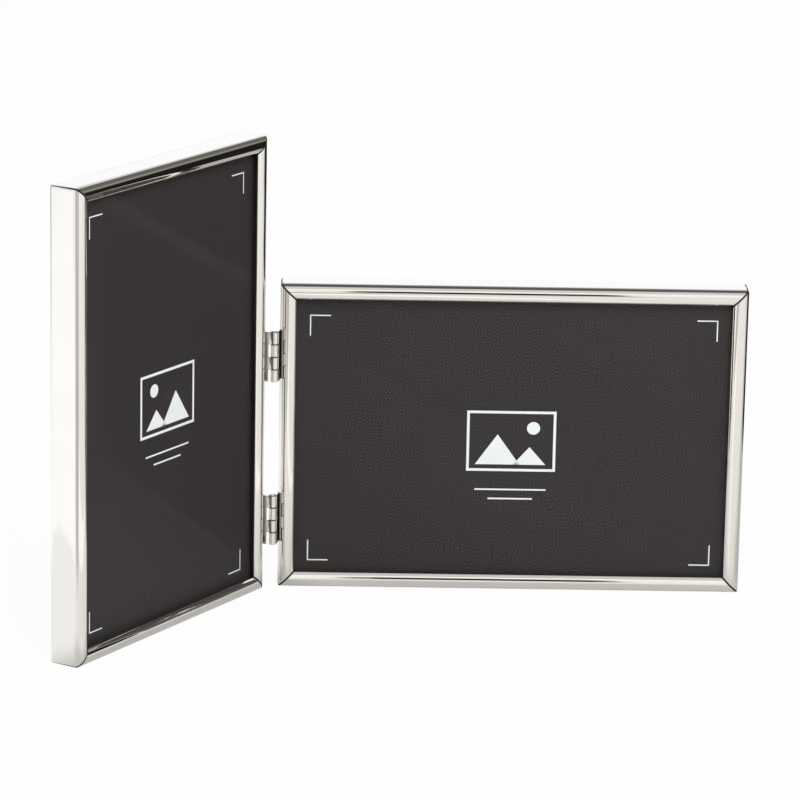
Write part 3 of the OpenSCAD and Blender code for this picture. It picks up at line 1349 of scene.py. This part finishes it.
# %% Walls and ceiling
wall_stops = [
    (0.00, 1.05), (0.28, 1.04), (0.39, 0.85), (0.545, 0.62), (0.68, 0.40),
    (0.80, 0.22), (0.89, 0.12), (1.00, 0.065),
]
front_stops = [
    (0.00, 0.90), (0.58, 0.98), (0.66, 1.00), (0.74, 0.68), (0.84, 0.60), (0.92, 0.72),
    (0.974, 0.55), (0.9986, 0.10), (1.00, 0.065),
]
stop_scale = 1.2
plain_sky_strength = 0.5
walls_blend = (-0.3, 0.3)
zenith_guard = 1.0001
gloom_tint = (1.0, 0.96, 0.87)
gloom_right = (0.33, 0.42)
gloom_back = (0.10, 0.22)
gloom_floor = 0.035
gloom_gain = 0.23
gloom_gain_heights = (0.20, 0.36)
gloom_loss = 0.13
gloom_loss_heights = (0.43, 0.54)


def mirrored_walls(recipe):
    """The tone and the tint of the walls and the ceiling, by direction."""
    x, y, z = recipe.parts(recipe.node("ShaderNodeTexCoord", output="Generated"))

    def height_tone(stops):
        shades = [(place, (tone / stop_scale,) * 3 + (1,)) for place, tone in stops]
        ramp = recipe.node("ShaderNodeValToRGB", {"stops": shades}, {"Fac": z})
        return ramp * stop_scale

    behind = y.rise(*walls_blend)
    light = height_tone(wall_stops) * behind + height_tone(front_stops) * (1 - behind)
    level = (zenith_guard - z * z) ** 0.5
    gloom = (x / level).rise(*gloom_right) * (y / level).rise(*gloom_back)
    gain = gloom_gain * z.rise(*gloom_gain_heights)
    loss = gloom_loss * z.rise(*gloom_loss_heights)
    gloom_tone = gloom_floor + gain - loss
    light = light * (1 - gloom) + gloom * gloom_tone.at_most(light)
    tint = recipe.blend(behind, white, (*wall_tint, 1))
    return light, recipe.blend(gloom, tint, (*gloom_tint, 1))


def surroundings():
    """White walls with a dark ceiling for mirrors, and an even soft sky for everything else."""
    world = bpy.data.worlds.new("studio_surroundings")
    bpy.context.scene.world = world
    world.use_nodes = True
    recipe = Recipe(world.node_tree)
    for node in list(recipe.tree.nodes):
        recipe.tree.nodes.remove(node)

    def sky(colour, strength):
        return recipe.node("ShaderNodeBackground", {}, {"Color": colour, "Strength": strength})

    light, tint = mirrored_walls(recipe)
    to_camera, to_mirrors = recipe.rays("Camera", "Glossy")
    shaders = {0: to_mirrors, 1: sky(white, plain_sky_strength), 2: sky(tint, light)}
    unseen = recipe.node("ShaderNodeMixShader", {}, shaders)
    seen = recipe.node("ShaderNodeMixShader", {}, {0: to_camera, 1: unseen, 2: sky(white, 1.0)})
    output = recipe.tree.nodes.new("ShaderNodeOutputWorld")
    recipe.tree.links.new(seen.socket, output.inputs["Surface"])
    return world


print("surroundings:", len(surroundings().node_tree.nodes), "nodes")

# %% [markdown]
# ## Dark cards
# A photographer draws the edges of polished metal with black cards. One stands behind on the
# right, and another takes the place of the camera. Their edges fade out, so that no hard line
# shows in a rail, and only mirrors see them.

# %% Dark cards
card_start = Vector((310 * mm, 80 * mm, 0))
card_end = Vector((140 * mm, 240 * mm, 0))
card_height = 285 * mm
camera_card_start = Vector((hinge_wall_low.x + 22 * mm, camera.location.y, 150 * mm))
camera_card_end = Vector((hinge_wall_low.x + 222 * mm, camera.location.y, 150 * mm))
camera_card_height = 670 * mm


def dark_card(name, start, end, height, soft_side, soft_foot, soft_top, tone):
    """A soft-edged dark card that only mirrors see. Softness is a share of its width or height."""
    run = end - start
    middle = (start + end) / 2 + Vector((0, 0, height / 2))
    turn = (math.pi / 2, 0, math.atan2(run.y, run.x))
    card = new_piece(
        name, bpy.ops.mesh.primitive_plane_add, middle, (run.length, height, 1), turn, size=1)
    material, recipe = mixture(name)
    black = recipe.node("ShaderNodeEmission", {}, {"Color": white, "Strength": tone})
    clear = recipe.node("ShaderNodeBsdfTransparent")
    u, v, _ = recipe.parts(recipe.node("ShaderNodeTexCoord", output="UV"))
    cover = u.rise(0, soft_side) * (1 - u.rise(1 - soft_side, 1))
    cover = cover * v.rise(-0.001, soft_foot) * (1 - v.rise(1 - soft_top, 1))
    surface(recipe, cover, clear, black)
    card.data.materials.append(material)
    card.visible_camera = False
    card.visible_diffuse = False
    card.visible_shadow = False
    card.visible_transmission = False
    print(name, round(run.length, 3), "by", round(height, 3), "m")


dark_card(
    "black_card", card_start, card_end, card_height,
    soft_side=0.05, soft_foot=0.04, soft_top=0.15, tone=0.012)
dark_card(
    "camera_card", camera_card_start, camera_card_end, camera_card_height,
    soft_side=0.08, soft_foot=0.1, soft_top=0.1, tone=0.02)

# %% [markdown]
# ## Lamps
# Two soft lamps light the cards, the velvet and the table, a strong one from the right and a
# weak one from the left. A mirror would show them as bright squares, so they are hidden from it.

# %% Lamps
lamp_target = Vector((0, 0, 60 * mm))
lamp_size = 1.1


def lamp(name, place, power):
    """A soft square lamp that lights the pieces but isn't mirrored in them."""
    bpy.ops.object.light_add(type="AREA", location=place)
    made = bpy.context.object
    made.name = name
    made.rotation_euler = (lamp_target - Vector(place)).to_track_quat("-Z", "Y").to_euler()
    made.data.size = lamp_size
    made.data.energy = power
    made.visible_glossy = False
    print(name, power, "watts")


lamp("key_lamp", place=(0.62, -1.15, 1.25), power=22)
lamp("fill_lamp", place=(-0.9, -0.6, 1.1), power=6)
